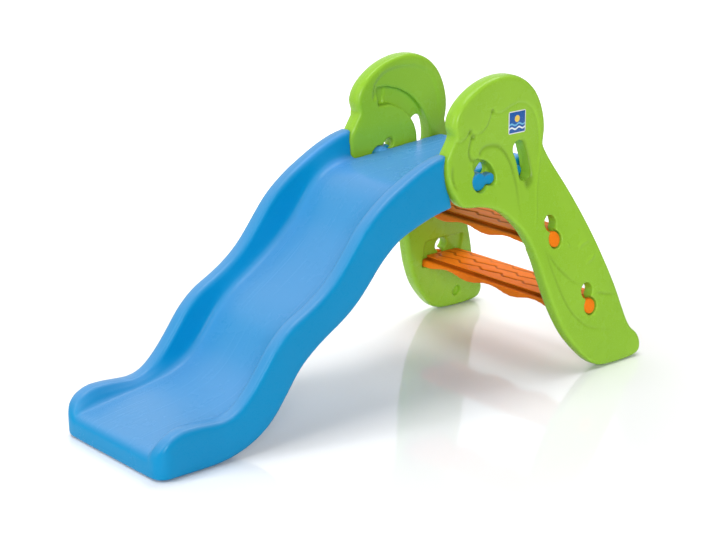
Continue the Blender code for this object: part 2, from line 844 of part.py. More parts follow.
def knob_solid(seat, knob_out):
    """The round head that sits in the keyhole, with a rounded outer edge."""
    rings = []
    levels = ((0.0, 0.0), (0.0, KNOB_DEPTH - 0.004), (0.0015, KNOB_DEPTH - 0.0012), (0.005, KNOB_DEPTH))
    for shrink, depth in levels:
        y = knob_out - KNOB_DEPTH + depth
        rings.append([(x, y, z) for x, z in circle(seat, KNOB_RADIUS - shrink, 28)])
    return loft("knob", rings)


def lean_piece(piece, side):
    """Lean a small piece with the panel, and put it on its side of the slide."""
    for vert in piece.data.vertices:
        vert.co.y = side * (vert.co.y + flare(vert.co.z))
    if side < 0:
        piece.data.flip_normals()


def label(name, material):
    """A thin plain label on the left panel's outer face."""
    outline = rounded_box(LABEL_CENTRE, LABEL_SIZE, LABEL_ROUND, 4)
    inner = -(CHUTE_HALF_WIDTH + LABEL_GAP)
    body = prism(name, outline, inner - LABEL_THICKNESS, inner)
    finish(body, material)
    return body


def main():
    clear_scene()
    chute("chute", plastic("blue_chute", "blue"))
    right = side_panel("side_panel_right", plastic("green_right_panel", "green"))
    mirrored(right, "side_panel_left", plastic("green_left_panel", "green"))
    step("upper_step", UPPER_STEP, plastic("orange_upper_step", "orange"))
    step("lower_step", LOWER_STEP, plastic("orange_lower_step", "orange"))
    label("panel_label", plastic("label_film", "label"))
    for obj in bpy.data.objects:
        obj.data.transform(Matrix.Translation((-MIDDLE, 0.0, 0.0)))


main()
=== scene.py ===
# %% [markdown]
# # A folding slide for toddlers
# The real slide is five hollow mouldings of polyethylene, blown in closed moulds, and one printed
# label. Blow moulding leaves soft edges, slightly uneven skins and a satin grain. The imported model
# has every piece at its true size and place, so this lesson gives each piece the skin that comes
# off the mould, and then its plastic.

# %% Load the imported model
import math

import bpy
import numpy as np
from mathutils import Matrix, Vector


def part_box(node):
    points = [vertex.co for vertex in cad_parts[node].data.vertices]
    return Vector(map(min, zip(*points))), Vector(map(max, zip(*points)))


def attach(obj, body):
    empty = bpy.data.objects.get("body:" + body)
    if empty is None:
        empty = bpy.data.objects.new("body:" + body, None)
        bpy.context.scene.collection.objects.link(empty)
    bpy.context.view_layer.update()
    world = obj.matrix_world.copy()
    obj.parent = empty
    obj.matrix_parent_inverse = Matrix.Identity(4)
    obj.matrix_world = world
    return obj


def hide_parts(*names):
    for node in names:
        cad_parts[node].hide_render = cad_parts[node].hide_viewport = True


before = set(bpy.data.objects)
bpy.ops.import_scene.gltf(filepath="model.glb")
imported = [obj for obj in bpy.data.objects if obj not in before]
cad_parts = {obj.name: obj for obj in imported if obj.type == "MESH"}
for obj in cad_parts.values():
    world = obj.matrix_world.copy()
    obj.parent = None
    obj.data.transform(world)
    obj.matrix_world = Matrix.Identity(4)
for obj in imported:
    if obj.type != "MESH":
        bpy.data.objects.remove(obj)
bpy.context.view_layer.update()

print("nodes:", sorted(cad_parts))

# %% [markdown]
# ## Where things are
# Lengths along the slide are easiest to give from the chute's toe, as a maker would with a tape.
# The model's origin lies in the middle of the footprint, so a place on the tape becomes a place in
# the scene by taking half the length off. A panel's two sides are given from the middle of the
# slide, where the panel is still upright.

# %% The tape along the slide
HALF_LENGTH = 0.7697


def along(distance):
    """X of a place that lies this far from the chute's toe."""
    return distance - HALF_LENGTH


PANEL_INNER = 0.166
PANEL_OUTER = 0.211
print("a panel is", round((PANEL_OUTER - PANEL_INNER) * 1000, 1), "mm thick")


# %% [markdown]
# ## Working on one piece at a time
# Every tool works on what is selected, so a helper picks out one piece and opens it for editing.

# %% Pick out a piece, open it, close it
def pick(piece):
    """Select this piece and nothing else."""
    bpy.ops.object.select_all(action="DESELECT")
    piece.select_set(True)
    bpy.context.view_layer.objects.active = piece


def open_up(piece):
    """Edit this piece, with all of its mesh selected."""
    pick(piece)
    bpy.ops.object.mode_set(mode="EDIT")
    bpy.ops.mesh.select_all(action="SELECT")


def close_up():
    """Back from editing."""
    bpy.ops.object.mode_set(mode="OBJECT")


def apply(piece, kind, **settings):
    """Put one modifier on the piece and make it permanent."""
    pick(piece)
    bpy.ops.object.modifier_add(type=kind)
    modifier = piece.modifiers[-1]
    for name, value in settings.items():
        setattr(modifier, name, value)
    bpy.ops.object.modifier_apply(modifier=modifier.name)


# %% [markdown]
# ## Points as arrays
# Relief is worked out for all points of a skin at once. A skin can also remember one number for
# each of its points, and its plastic reads that number later.

# %% Read, move and mark a skin's points
def points_of(piece):
    """The piece's points, one row each."""
    flat = np.empty(len(piece.data.vertices) * 3)
    piece.data.vertices.foreach_get("co", flat)
    return flat.reshape(-1, 3)


def normals_of(piece):
    """The way that the skin faces at each point, one row each."""
    flat = np.empty(len(piece.data.vertices) * 3)
    piece.data.vertices.foreach_get("normal", flat)
    return flat.reshape(-1, 3)


def move_points(piece, points):
    """Give the piece's points these places."""
    piece.data.vertices.foreach_set("co", points.ravel())
    piece.data.update()


def remember(piece, name, values):
    """Keep one number for each point under this name."""
    attribute = piece.data.attributes.new(name, "FLOAT", "POINT")
    attribute.data.foreach_set("value", values)


def ease(low, high, value):
    """0 below low, 1 above high, and a smooth rise between."""
    t = np.clip((value - low) / (high - low), 0.0, 1.0)
    return t * t * (3.0 - 2.0 * t)


# %% [markdown]
# ## The skin of a moulding
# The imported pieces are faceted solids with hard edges. A blown skin has no facets, and plastic
# can't fill a sharp corner of the mould. So a copy of the solid is merged, its facets are
# subdivided into curves with the real corners held by creases, the whole is covered by an even
# skin of small cells, and that skin is relaxed a little, which rounds every corner by a few
# millimetres.

# %% Copy, merge, subdivide, cover and relax
MERGE_WITHIN = 2e-5
FLAT_ENOUGH = math.radians(8)
ANY_SHAPE = math.radians(90)
CORNER = math.radians(50)
SQUARE_TO_SIDE = 0.9995


def copy_of(node, name):
    """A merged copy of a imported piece, with its triangles joined into quads."""
    piece = bpy.data.objects.new(name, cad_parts[node].data.copy())
    piece.data.name = name
    piece.data.materials.clear()
    bpy.context.collection.objects.link(piece)
    pick(piece)
    bpy.ops.mesh.customdata_custom_splitnormals_clear()
    open_up(piece)
    bpy.ops.mesh.remove_doubles(threshold=MERGE_WITHIN)
    bpy.ops.mesh.tris_convert_to_quads(face_threshold=FLAT_ENOUGH, shape_threshold=ANY_SHAPE)
    bpy.ops.mesh.normals_make_consistent(inside=False)
    close_up()
    return piece


def hold_corners(piece, flat_sides=False):
    """Crease the edges that turn by more than a corner's angle, and the rims of the flat sides."""
    if flat_sides:
        pick(piece)
        for face in piece.data.polygons:
            face.select = abs(face.normal.y) > SQUARE_TO_SIDE
        bpy.ops.object.mode_set(mode="EDIT")
        bpy.ops.mesh.region_to_loop()
        bpy.ops.transform.edge_crease(value=1.0)
        close_up()
    open_up(piece)
    bpy.ops.mesh.select_all(action="DESELECT")
    bpy.ops.mesh.select_mode(type="EDGE")
    bpy.ops.mesh.edges_select_sharp(sharpness=CORNER)
    bpy.ops.transform.edge_crease(value=1.0)
    close_up()


def blow(piece, cell, relaxings):
    """Turn the held copy into an even, soft skin of cells."""
    apply(piece, "SUBSURF", levels=2, render_levels=2)
    apply(piece, "REMESH", mode="VOXEL", voxel_size=cell)
    apply(piece, "SMOOTH", factor=0.5, iterations=relaxings)
    print(piece.name, "has", len(piece.data.polygons) * 2, "triangles")


# %% [markdown]
# ## The chute
# One moulding is both the wavy bed with its walls and the platform at the top. Its round lugs,
# which make the hinge, are blown in the same mould. The bed's waves are long curves, so cells of a
# few millimetres are fine enough.

# %% The chute's skin
chute = copy_of("chute", "blue_chute_skin")
hold_corners(chute)
blow(chute, cell=0.0046, relaxings=5)

# %% [markdown]
# ## Flat first, then bent
# The mould maker draws a side panel flat and then leans the legs outwards along a few bends. The
# copy is worked in the same way: it is straightened, gets its skin and its relief while it is flat,
# and is bent again at the end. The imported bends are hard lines; these are spread over a few
# centimetres.

# %% The lean of the legs
# Each bend: from this height, down to this one, this much outwards for each metre down.
BENDS = (
    (0.630, 0.570, 0.1365),
    (0.570, 0.330, 0.2730),
    (0.330, 0.270, 0.2265),
    (0.270, -1.00, 0.1800),
)
SHIFTS = np.linspace(-0.02, 0.02, 9)


def lean(height):
    """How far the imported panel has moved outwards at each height."""
    return sum(
        slope * np.maximum(0.0, high - np.maximum(height, low)) for high, low, slope in BENDS
    )


def soft_lean(height):
    """The same lean with its bends spread out."""
    return sum(lean(height + shift) for shift in SHIFTS) / len(SHIFTS)


def straighten(piece):
    """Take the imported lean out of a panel, so that both of its sides are flat."""
    points = points_of(piece)
    points[:, 1] -= np.sign(points[:, 1]) * lean(points[:, 2])
    move_points(piece, points)


print("the sole stands", round(float(soft_lean(0.0)) * 1000, 1), "mm further out than the dome")

# %% [markdown]
# ## Both panels' skins
# A panel is 45 mm thick with rounded edges, pierced by a hinge hole, a slot and two keyholes.

# %% Blow the two panels flat
panels = {}
for side in ("left", "right"):
    panel = copy_of(f"side_panel_{side}", f"green_{side}_panel_skin")
    straighten(panel)
    hold_corners(panel, flat_sides=True)
    blow(panel, cell=0.0028, relaxings=6)
    panels[side] = panel


# %% [markdown]
# ## Drawing on a panel
# The mould is engraved with a tree: a scalloped crown over the dome, bark lines down the leg. An
# engraved line is a groove along a smooth curve, and a raised field is everything inside a closed
# one. Both need the distance of every point from a line.

# %% Smooth lines and distances from them
def smooth_line(places, steps=6):
    """More places along a smooth curve through the given ones."""
    p = np.array(places, float)
    p = np.vstack([2 * p[0] - p[1], p, 2 * p[-1] - p[-2]])
    rows = []
    for a, b, c, d in zip(p[:-3], p[1:-2], p[2:-1], p[3:]):
        square, cube = 2 * a - 5 * b + 4 * c - d, 3 * b - a - 3 * c + d
        for t in np.arange(steps) / steps:
            rows.append(0.5 * (2 * b + (c - a) * t + square * t**2 + cube * t**3))
    return np.array(rows + [p[-2]])


def distance_from(line, x, z):
    """Distance of each point from a line, and how far along the line its nearest place is."""
    best = np.full(len(x), np.inf)
    where = np.zeros(len(x))
    count = len(line) - 1
    for k in range(count):
        (ax, az), (bx, bz) = line[k], line[k + 1]
        run, rise = bx - ax, bz - az
        t = np.clip(((x - ax) * run + (z - az) * rise) / (run**2 + rise**2 + 1e-12), 0.0, 1.0)
        gap = np.hypot(x - ax - t * run, z - az - t * rise)
        nearer = gap < best
        best = np.where(nearer, gap, best)
        where = np.where(nearer, (k + t) / count, where)
    return best, where


def inside(border, x, z):
    """Which points lie inside a closed border."""
    odd = np.zeros(len(x), bool)
    for (ax, az), (bx, bz) in zip(border, np.roll(border, -1, axis=0)):
        crosses = (az > z) != (bz > z)
        reach = ax + (z - az) / np.where(bz == az, 1e-12, bz - az) * (bx - ax)
        odd ^= crosses & (x < reach)
    return odd


def field(border, x, z, slope):
    """1 inside a closed border, 0 outside it, with a slope this wide across it."""
    gap, _ = distance_from(np.vstack([border, border[:1]]), x, z)
    return ease(-slope / 2, slope / 2, np.where(inside(border, x, z), gap, -gap))


def groove(places, x, z, half_width, fade_in, fade_out):
    """1 along a line, falling to 0 on both sides of it and towards its ends."""
    gap, where = distance_from(smooth_line(places), x, z)
    ends = ease(0.0, fade_in, where) * ease(0.0, fade_out, 1.0 - where)
    return np.exp(-((gap / half_width) ** 2)) * ends


# %% [markdown]
# ## The tree on the outer side
# Scallops bound the crown, and the last one runs on down the back of the leg as a ridge. Below them
# are a knot, an arch round the hinge hole that turns into the trunk's edge, a leaf of raised lines
# between the keyholes, and roots at the foot.

# %% The lines of the tree, measured from the toe and the floor
CROWN = (
    (0.895, 0.712), (0.9187, 0.6878), (0.946, 0.6763), (0.9693, 0.6798), (0.9865, 0.6975),
    (1.0044, 0.6903), (1.0242, 0.6887), (1.0438, 0.7003), (1.0553, 0.719), (1.0647, 0.7410),
    (1.0809, 0.7342), (1.099, 0.7329), (1.119, 0.7402), (1.1391, 0.7461), (1.1594, 0.7497),
    (1.1842, 0.7455), (1.2052, 0.7335), (1.2204, 0.7149), (1.2317, 0.6893), (1.2395, 0.649),
    (1.2390, 0.6075), (1.2279, 0.5569),
)
CROWN_CLOSES = ((1.32, 0.54), (1.32, 0.88), (0.85, 0.88), (0.85, 0.74))
KNOT = (
    (1.0006, 0.6865), (0.993, 0.6731), (0.9875, 0.6536), (0.9871, 0.6361), (0.993, 0.6221),
    (1.0103, 0.6173), (1.023, 0.6244),
)
ARCH = (
    (1.023, 0.6244), (1.0294, 0.6394), (1.0451, 0.6472), (1.0692, 0.6477), (1.0935, 0.6408),
    (1.1135, 0.6244), (1.1257, 0.605), (1.1371, 0.5768), (1.1418, 0.5416), (1.1424, 0.5015),
    (1.141, 0.4617), (1.150, 0.4217),
)
CHEEK = ((0.932, 0.6192), (0.926, 0.6003), (0.9257, 0.5804), (0.9306, 0.5626), (0.9412, 0.5497))
LEG_RIDGE = (
    (1.2390, 0.6075), (1.2279, 0.5569), (1.2085, 0.5082), (1.198, 0.4600), (1.1873, 0.4209),
    (1.1780, 0.3700),
)
ROOT_LINES = (
    ((1.2150, 0.3500), (1.2270, 0.3254), (1.2538, 0.2904), (1.2914, 0.2560), (1.3319, 0.2308)),
    ((1.2060, 0.3700), (1.2116, 0.3415), (1.2281, 0.2821), (1.2485, 0.2277), (1.2752, 0.1780),
     (1.3046, 0.1445), (1.3405, 0.1189), (1.3981, 0.1018), (1.4869, 0.0805)),
    ((1.3731, 0.2070), (1.4116, 0.1956), (1.4603, 0.1820)),
)
LEAF = (
    ((1.3275, 0.3312), (1.3399, 0.3421), (1.3614, 0.3491), (1.3809, 0.3479)),
    ((1.3469, 0.2922), (1.3731, 0.3000), (1.3932, 0.3137)),
    ((1.2854, 0.3590), (1.2920, 0.3525), (1.2981, 0.3458)),
)
NOTCHES = ((0.9865, 0.6965), (0.9985, 0.6810), (1.0645, 0.7400))
SLOT_MIDDLE = ((1.1788, 0.5480), (1.1788, 0.5600), (1.1765, 0.5880), (1.1660, 0.6236))
print("the crown's border has", len(smooth_line(CROWN)), "places")


# %% [markdown]
# The crown stands 3 mm proud. The grooves are between 1 and 3 mm deep, which is about what a blown
# skin takes, and three small notches between the scallops are a little deeper. Round the slot the
# plastic is dished towards the rear, where the child's fingers go.

# %% The height of the outer side's relief
# Each line: its places, its height, half of its width, and how it fades in and out at its ends.
RELIEF_LINES = (
    (CROWN, -0.0014, 0.0040, 0.03, 0.20),
    (KNOT, -0.0032, 0.0045, 0.05, 0.10),
    (ARCH, -0.0030, 0.0055, 0.05, 0.45),
    (CHEEK, -0.0028, 0.0048, 0.30, 0.30),
    (LEG_RIDGE, 0.0018, 0.0035, 0.10, 0.50),
    *((line, -0.0018, 0.0042, 0.30, 0.40) for line in ROOT_LINES),
    *((line, 0.0022, 0.0042, 0.30, 0.30) for line in LEAF),
)
CROWN_HEIGHT = 0.0034
CROWN_SLOPE = 0.007
NOTCH_DEPTH = 0.0040
NOTCH_RADIUS = 0.0055
DISH_DEPTH = 0.0060


def notches(x, z):
    """Depth of the small deep spots where two scallops of the crown meet."""
    gaps = [np.hypot(x - spot_x, z - spot_z) for spot_x, spot_z in NOTCHES]
    return NOTCH_DEPTH * np.sum([np.exp(-(gap / NOTCH_RADIUS) ** 2) for gap in gaps], axis=0)


def outer_relief(x, z):
    """How far each point of a panel's outer side stands out of the flat."""
    crown = np.vstack([smooth_line(CROWN), CROWN_CLOSES])
    height = CROWN_HEIGHT * field(crown, x, z, CROWN_SLOPE) * ease(0.545, 0.640, z)
    for places, rise, half_width, fade_in, fade_out in RELIEF_LINES:
        height += rise * groove(places, x, z, half_width, fade_in, fade_out)
    height -= notches(x, z)
    gap, _ = distance_from(smooth_line(SLOT_MIDDLE), x, z)
    near_slot, behind_slot = 1.0 - ease(0.018, 0.036, gap), ease(1.165, 1.190, x)
    height -= DISH_DEPTH * near_slot * behind_slot
    return height


# %% [markdown]
# ## The rim on the inner side
# Inside, the dome has a raised rim like the edge of a tray. The field within it lies between 5 and
# 6 mm lower, above the curved track, and comes up level again towards the platform.

# %% The height of the inner side's relief
RIM_LINE = (
    (0.9873, 0.7193), (0.9893, 0.7461), (0.9993, 0.7664), (1.0271, 0.7869), (1.0671, 0.7953),
    (1.1076, 0.7945), (1.1486, 0.7876), (1.1901, 0.7681), (1.2112, 0.7434), (1.2243, 0.704),
    (1.2312, 0.6652), (1.2299, 0.6274), (1.2207, 0.6028),
)
RIM_CLOSES = (
    (1.190, 0.590), (1.178, 0.620), (1.160, 0.640), (1.110, 0.690), (1.050, 0.720), (1.005, 0.725),
)
TRAY_DEPTH = 0.0055
TRAY_SLOPE = 0.015


def tray_depth(x, z):
    """How far each point of a panel's inner side lies below the flat."""
    tray = np.vstack([smooth_line(RIM_LINE), RIM_CLOSES])
    return TRAY_DEPTH * field(tray, x, z, TRAY_SLOPE) * ease(0.600, 0.680, z)


in_tray = tray_depth(np.array([1.13]), np.array([0.75]))
print("the tray is", round(float(in_tray[0]) * 1000, 2), "mm deep in its middle")

# %% [markdown]
# ## Engrave, remember the thickness, and bend
# The relief moves a side's skin only, so it fades out within a few millimetres of depth. Before the
# bend, each point keeps how far through the thickness it lies, for the seam that the mould's two
# halves leave round the edge. It also keeps how deeply it is engraved, for the painted shade in the
# lines and most of all in the notches.

# %% Relief and lean on both panels
FULL_SHADE_DEPTH = 0.0045
for panel in panels.values():
    points = points_of(panel)
    away = np.abs(points[:, 1])
    x = points[:, 0] + HALF_LENGTH
    z = points[:, 2]
    on_outer = ease(PANEL_OUTER - 0.010, PANEL_OUTER - 0.001, away)
    on_inner = 1.0 - ease(PANEL_INNER + 0.001, PANEL_INNER + 0.008, away)
    relief = outer_relief(x, z)
    # Painted shade: the engraved lines are darkened, and the notches twice as much.
    shade_and_grime = np.clip((2.0 * notches(x, z) - relief) / FULL_SHADE_DEPTH, 0.0, 1.0)
    remember(panel, "through", (away - PANEL_INNER) / (PANEL_OUTER - PANEL_INNER))
    remember(panel, "engraved", shade_and_grime * on_outer)
    away = away + relief * on_outer + tray_depth(x, z) * on_inner
    points[:, 1] = np.sign(points[:, 1]) * (away + soft_lean(z))
    move_points(panel, points)
    print(panel.name, "reaches", round(float(np.abs(points[:, 1]).max()), 4), "m to its side")

# %% [markdown]
# ## The steps
# Each step is a board with the look of cut wood: cracks run along the tread in long steps, and the
# skirt under the nose hangs in waves. A finer skin is needed here, because the cracks are only a
# few millimetres wide.

# %% The steps' skins
steps = {}
for level in ("upper", "lower"):
    step = copy_of(f"{level}_step", f"orange_{level}_step_skin")
    hold_corners(step)
    blow(step, cell=0.0017, relaxings=4)
    steps[level] = step

# %% [markdown]
# A crack drifts back for a few centimetres and then jumps forward, like the edge of a split board.
# A groove runs under the nose of the tread, and the front and rear sides get shallow chisel marks
# that follow the skirt's waves. Cracks and groove are darkened most, with painted shade, and the
# skirt a little, partly as grime in its chisel marks and partly as painted shade.

# %% Cracks, nose groove and chisel marks
STEP_FRONT_AND_TOP = {"upper": (1.168, 0.395), "lower": (1.270, 0.196)}
STEP_DEPTH = 0.148
# Each crack: its distance from the front, where its jumps begin, and its depth.
CRACKS = ((0.050, 0.30, 0.0040), (0.088, 2.10, 0.0034), (0.124, 4.30, 0.0014))
CRACK_PERIOD = 0.086
CRACK_JUMP = 0.0055
FULL_CRACK_DEPTH = 0.0014
NOSE_GROOVE_DEPTH = 0.0035
CHISEL_DEPTH = 0.0005
CHISEL_REACH = 0.012
TREAD_WEAR = 0.0005
# The skirt's darkening: partly grime in the chisel marks, partly painted shade under the nose.
SKIRT_SHADE_AND_GRIME = 0.22


def drift(turn):
    """From -1 to 1: a slow drift back and a quick jump forward, once in each turn."""
    return (np.sin(turn) + 0.42 * np.sin(2 * turn) + 0.14 * np.sin(3 * turn)) / 1.15


def crack_depth(across, y):
    """Depth of the cracks in the tread at each point, before it is limited to the top."""
    depth = np.zeros(len(y))
    for place, phase, deep in CRACKS:
        turn = 2 * math.pi * y / CRACK_PERIOD + phase
        line = place + CRACK_JUMP * drift(turn) + 0.0016 * np.sin(y * 31.0 + phase * 3.0)
        width = 0.0036 + 0.0005 * np.sin(turn * 0.7)
        strength = 0.78 + 0.22 * np.sin(y * 23.0 + phase * 2.0)
        depth += deep * strength * np.exp(-(((across - line) / width) ** 2))
    return depth


for level, step in steps.items():
    front, top = STEP_FRONT_AND_TOP[level]
    points = points_of(step)
    y, z = points[:, 1], points[:, 2]
    across = points[:, 0] + HALF_LENGTH - front
    below = top - z
    tread = ease(top - 0.0035, top - 0.0008, z)
    tread *= ease(0.018, 0.024, across) * ease(0.006, 0.012, STEP_DEPTH - across)
    skirt = ease(0.010, 0.016, below) * ease(PANEL_OUTER + 0.10, PANEL_INNER, np.abs(y))
    chisel = np.sin(y * 210.0 + 2.2 * np.sin(z * 260.0)) * CHISEL_DEPTH * skirt
    on_front, on_rear = across < CHISEL_REACH, across > STEP_DEPTH - CHISEL_REACH
    swell = 0.0005 * np.sin(y * 57.0 + across * 40.0) * np.sin(across * 90.0)
    cracks = tread * crack_depth(across, y)
    under_nose = ease(0.003, 0.005, below) * ease(0.0135, 0.0115, below)
    nose_groove = under_nose * ease(0.030, 0.022, across)
    points[:, 0] += np.where(on_front, chisel, 0.0) - np.where(on_rear, chisel, 0.0)
    points[:, 0] += NOSE_GROOVE_DEPTH * nose_groove
    points[:, 2] -= cracks + tread * (TREAD_WEAR + swell)
    move_points(step, points)
    # Painted shade in the cracks and the nose groove; on the skirt, partly grime and partly painted
    # shade.
    shade_and_grime = cracks / FULL_CRACK_DEPTH + nose_groove + SKIRT_SHADE_AND_GRIME * skirt
    remember(step, "engraved", np.clip(shade_and_grime, 0.0, 1.0))
    print(step.name, "has", len(CRACKS), "cracks")

# %% [markdown]
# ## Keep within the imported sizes
# Relaxing only takes material away, but the cells of a skin can stand a few hundredths of a
# millimetre proud. Each skin is trimmed to the box of the piece that it stands for. At the same
# time each point learns how sharply it bulges, because edges that bulge are where plastic gets
# scuffed.

# %% Trim each skin, measure its bulges, and let it stand for its piece
SKINS = (
    (chute, "chute", "slide", "blue_chute"),
    (panels["left"], "side_panel_left", "ladder", "green_left_panel"),
    (panels["right"], "side_panel_right", "ladder", "green_right_panel"),
    (steps["upper"], "upper_step", "ladder", "orange_upper_step"),
    (steps["lower"], "lower_step", "ladder", "orange_lower_step"),
)


def bulge(piece):
    """From 0 on flats and hollows to 1 where a point stands well out from its neighbours."""
    points = points_of(piece)
    ends = np.empty(len(piece.data.edges) * 2, np.int64)
    piece.data.edges.foreach_get("vertices", ends)
    ends = ends.reshape(-1, 2)
    count = np.maximum(np.bincount(ends.ravel(), minlength=len(points)), 1)
    cell = np.linalg.norm(points[ends[:, 0]] - points[ends[:, 1]], axis=1).mean()

    def around(values):
        """The mean of each point's neighbours."""
        total = np.bincount(ends[:, 0], values[ends[:, 1]], len(points))
        total += np.bincount(ends[:, 1], values[ends[:, 0]], len(points))
        return total / count

    middle = np.stack([around(points[:, k]) for k in range(3)], axis=1)
    out = ((points - middle) * normals_of(piece)).sum(axis=1) / cell
    for _ in range(4):
        out = 0.5 * out + 0.5 * around(out)
    return np.clip(out * 6.0, 0.0, 1.0)


for piece, node, body, slot in SKINS:
    low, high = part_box(node)
    move_points(piece, np.clip(points_of(piece), np.array(low), np.array(high)))
    remember(piece, "bulge", bulge(piece))
    pick(piece)
    bpy.ops.object.shade_smooth()
    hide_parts(node)
    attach(piece, body)
    print(piece.name, "rides on", body)

# %% [markdown]
# ## The label
# A small vinyl label sits on the left panel, under the crown. It is cut with round corners, has a
# white border, and here it carries a plain sign of its own: two waves under a disc.

# %% Cut the label
LABEL_MIDDLE = (1.155, 0.698)
LABEL_SIZE = (0.0625, 0.0605)
LABEL_THICKNESS = 0.0005
LABEL_CORNER = 0.0055
LABEL_PROUD = 0.0003
LABEL_EDGE = 0.00012
bpy.ops.object.select_all(action="DESELECT")
bpy.ops.mesh.primitive_plane_add(size=1.0, location=(0, 0, 0))
label = bpy.context.object
label.name = "printed_label"
open_up(label)
bpy.ops.transform.resize(value=(LABEL_SIZE[0], LABEL_SIZE[1], 1.0))
bpy.ops.mesh.bevel(offset=LABEL_CORNER, segments=8, affect="VERTICES")
bpy.ops.mesh.select_all(action="SELECT")
bpy.ops.mesh.extrude_region_move(TRANSFORM_OT_translate={"value": (0, 0, LABEL_THICKNESS)})
bpy.ops.mesh.select_all(action="SELECT")
bpy.ops.mesh.normals_make_consistent(inside=False)
bpy.ops.transform.rotate(value=math.radians(-90), orient_axis="X", center_override=(0, 0, 0))
bpy.ops.transform.translate(value=(along(LABEL_MIDDLE[0]), 0.0, LABEL_MIDDLE[1]))
close_up()
label_points = points_of(label)
label_points[:, 1] += -(PANEL_OUTER + LABEL_PROUD) - label_points[:, 1].max()
move_points(label, label_points)
apply(label, "BEVEL", width=LABEL_EDGE, segments=2, limit_method="ANGLE")
bpy.ops.object.shade_smooth_by_angle(angle=math.radians(35))
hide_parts("panel_label")
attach(label, "ladder")
print("label", [round(v, 4) for v in label.dimensions])


# %% [markdown]
# ## Sums in a material
# A plastic's look is a short calculation: so much of this grain, plus that smudge, limited to a
# range. Written with ordinary signs it stays readable, so one small class turns sums into nodes.

# %% Shades that can be added and multiplied
class Shade:
    """A value in a material's node tree that takes part in sums."""

    def __init__(self, tree, socket=None):
        self.tree = tree
        self.socket = socket

    def node(self, kind, out=0, ins=(), **settings):
        """Any node: its settings by name, and its inputs as pairs of socket and value."""
        node = self.tree.nodes.new(kind)
        for name, value in settings.items():
            setattr(node, name, value)
        for name, value in ins:
            if isinstance(value, Shade):
                self.tree.links.new(value.socket, node.inputs[name])
            else:
                node.inputs[name].default_value = value
        return Shade(self.tree, node.outputs[out])

    def sums(self, operation, *values):
        """One sum on values, such as ABSOLUTE or MAXIMUM."""
        return self.node("ShaderNodeMath", ins=tuple(enumerate(values)), operation=operation)

    def absolute(self):
        """The same value without its sign."""
        return self.sums("ABSOLUTE", self)

    def __add__(self, other):
        return self.sums("ADD", self, other)

    def __sub__(self, other):
        return self.sums("SUBTRACT", self, other)

    def __rsub__(self, other):
        return self.sums("SUBTRACT", other, self)

    def __mul__(self, other):
        return self.sums("MULTIPLY", self, other)

    __radd__ = __add__
    __rmul__ = __mul__

    def above(self, low, high):
        """0 below low, 1 above high."""
        ins = (("Value", self), ("From Min", low), ("From Max", high))
        return self.node("ShaderNodeMapRange", ins=ins, interpolation_type="SMOOTHSTEP")

    def between(self, first, second):
        """The first colour where this is 0, and the second where it is 1."""
        ins = ((0, self), (6, first), (7, second))
        return self.node("ShaderNodeMix", out=2, ins=ins, data_type="RGBA")

    def places(self):
        """The place of each spot, in the piece's own coordinates."""
        return self.node("ShaderNodeTexCoord", out=3)

    def seen_by_camera(self):
        """1 for what the camera sees directly, 0 for mirrored and bounced light."""
        return self.node("ShaderNodeLightPath", out=0)

    def noise(self, place, scale, detail=2.0, roughness=0.5):
        """Cloudy noise with this many patches to the metre, or nearly so."""
        ins = (("Vector", place), ("Scale", scale), ("Detail", detail), ("Roughness", roughness))
        return self.node("ShaderNodeTexNoise", ins=ins)

    def remembered(self, name):
        """The number that each point of the skin remembers under this name."""
        return self.node("ShaderNodeAttribute", out=2, attribute_name=name)

    def part(self, place, axis):
        """One part of a place: 0, 1 or 2 for X, Y or Z."""
        return self.node("ShaderNodeSeparateXYZ", out=axis, ins=(("Vector", place),))

    def stretched(self, place, x, y, z):
        """A place with its axes scaled, which draws a pattern out along the smallest."""
        return self.node("ShaderNodeMapping", ins=(("Vector", place), ("Scale", (x, y, z))))


def rgb(red, green, blue):
    """A colour as its sockets want it."""
    return (red, green, blue, 1.0)
